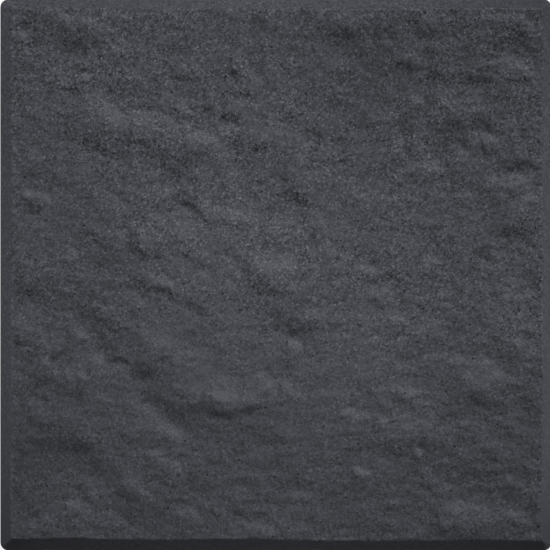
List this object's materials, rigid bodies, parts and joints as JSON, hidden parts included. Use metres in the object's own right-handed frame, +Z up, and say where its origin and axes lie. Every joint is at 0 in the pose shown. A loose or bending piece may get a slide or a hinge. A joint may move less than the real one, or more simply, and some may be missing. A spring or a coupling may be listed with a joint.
{
  "type": "stepping stone",
  "caption": "Square charcoal concrete stepping stone with a riven, slate-like walking face, a sloped arris round its top and rounded upright corners.",
  "frame": {"origin": "middle of the flat bed face that the stone lies on", "axes": "+Z up, out of the riven walking face; +X to the right and +Y to the top of the picture, which looks straight down"},
  "size_m": [0.3, 0.3, 0.0421],
  "materials": {
    "charcoal_concrete": "matte"
  },
  "bodies": {
    "root": {"stepping_stone": "charcoal_concrete"}
  },
  "joints": []
}
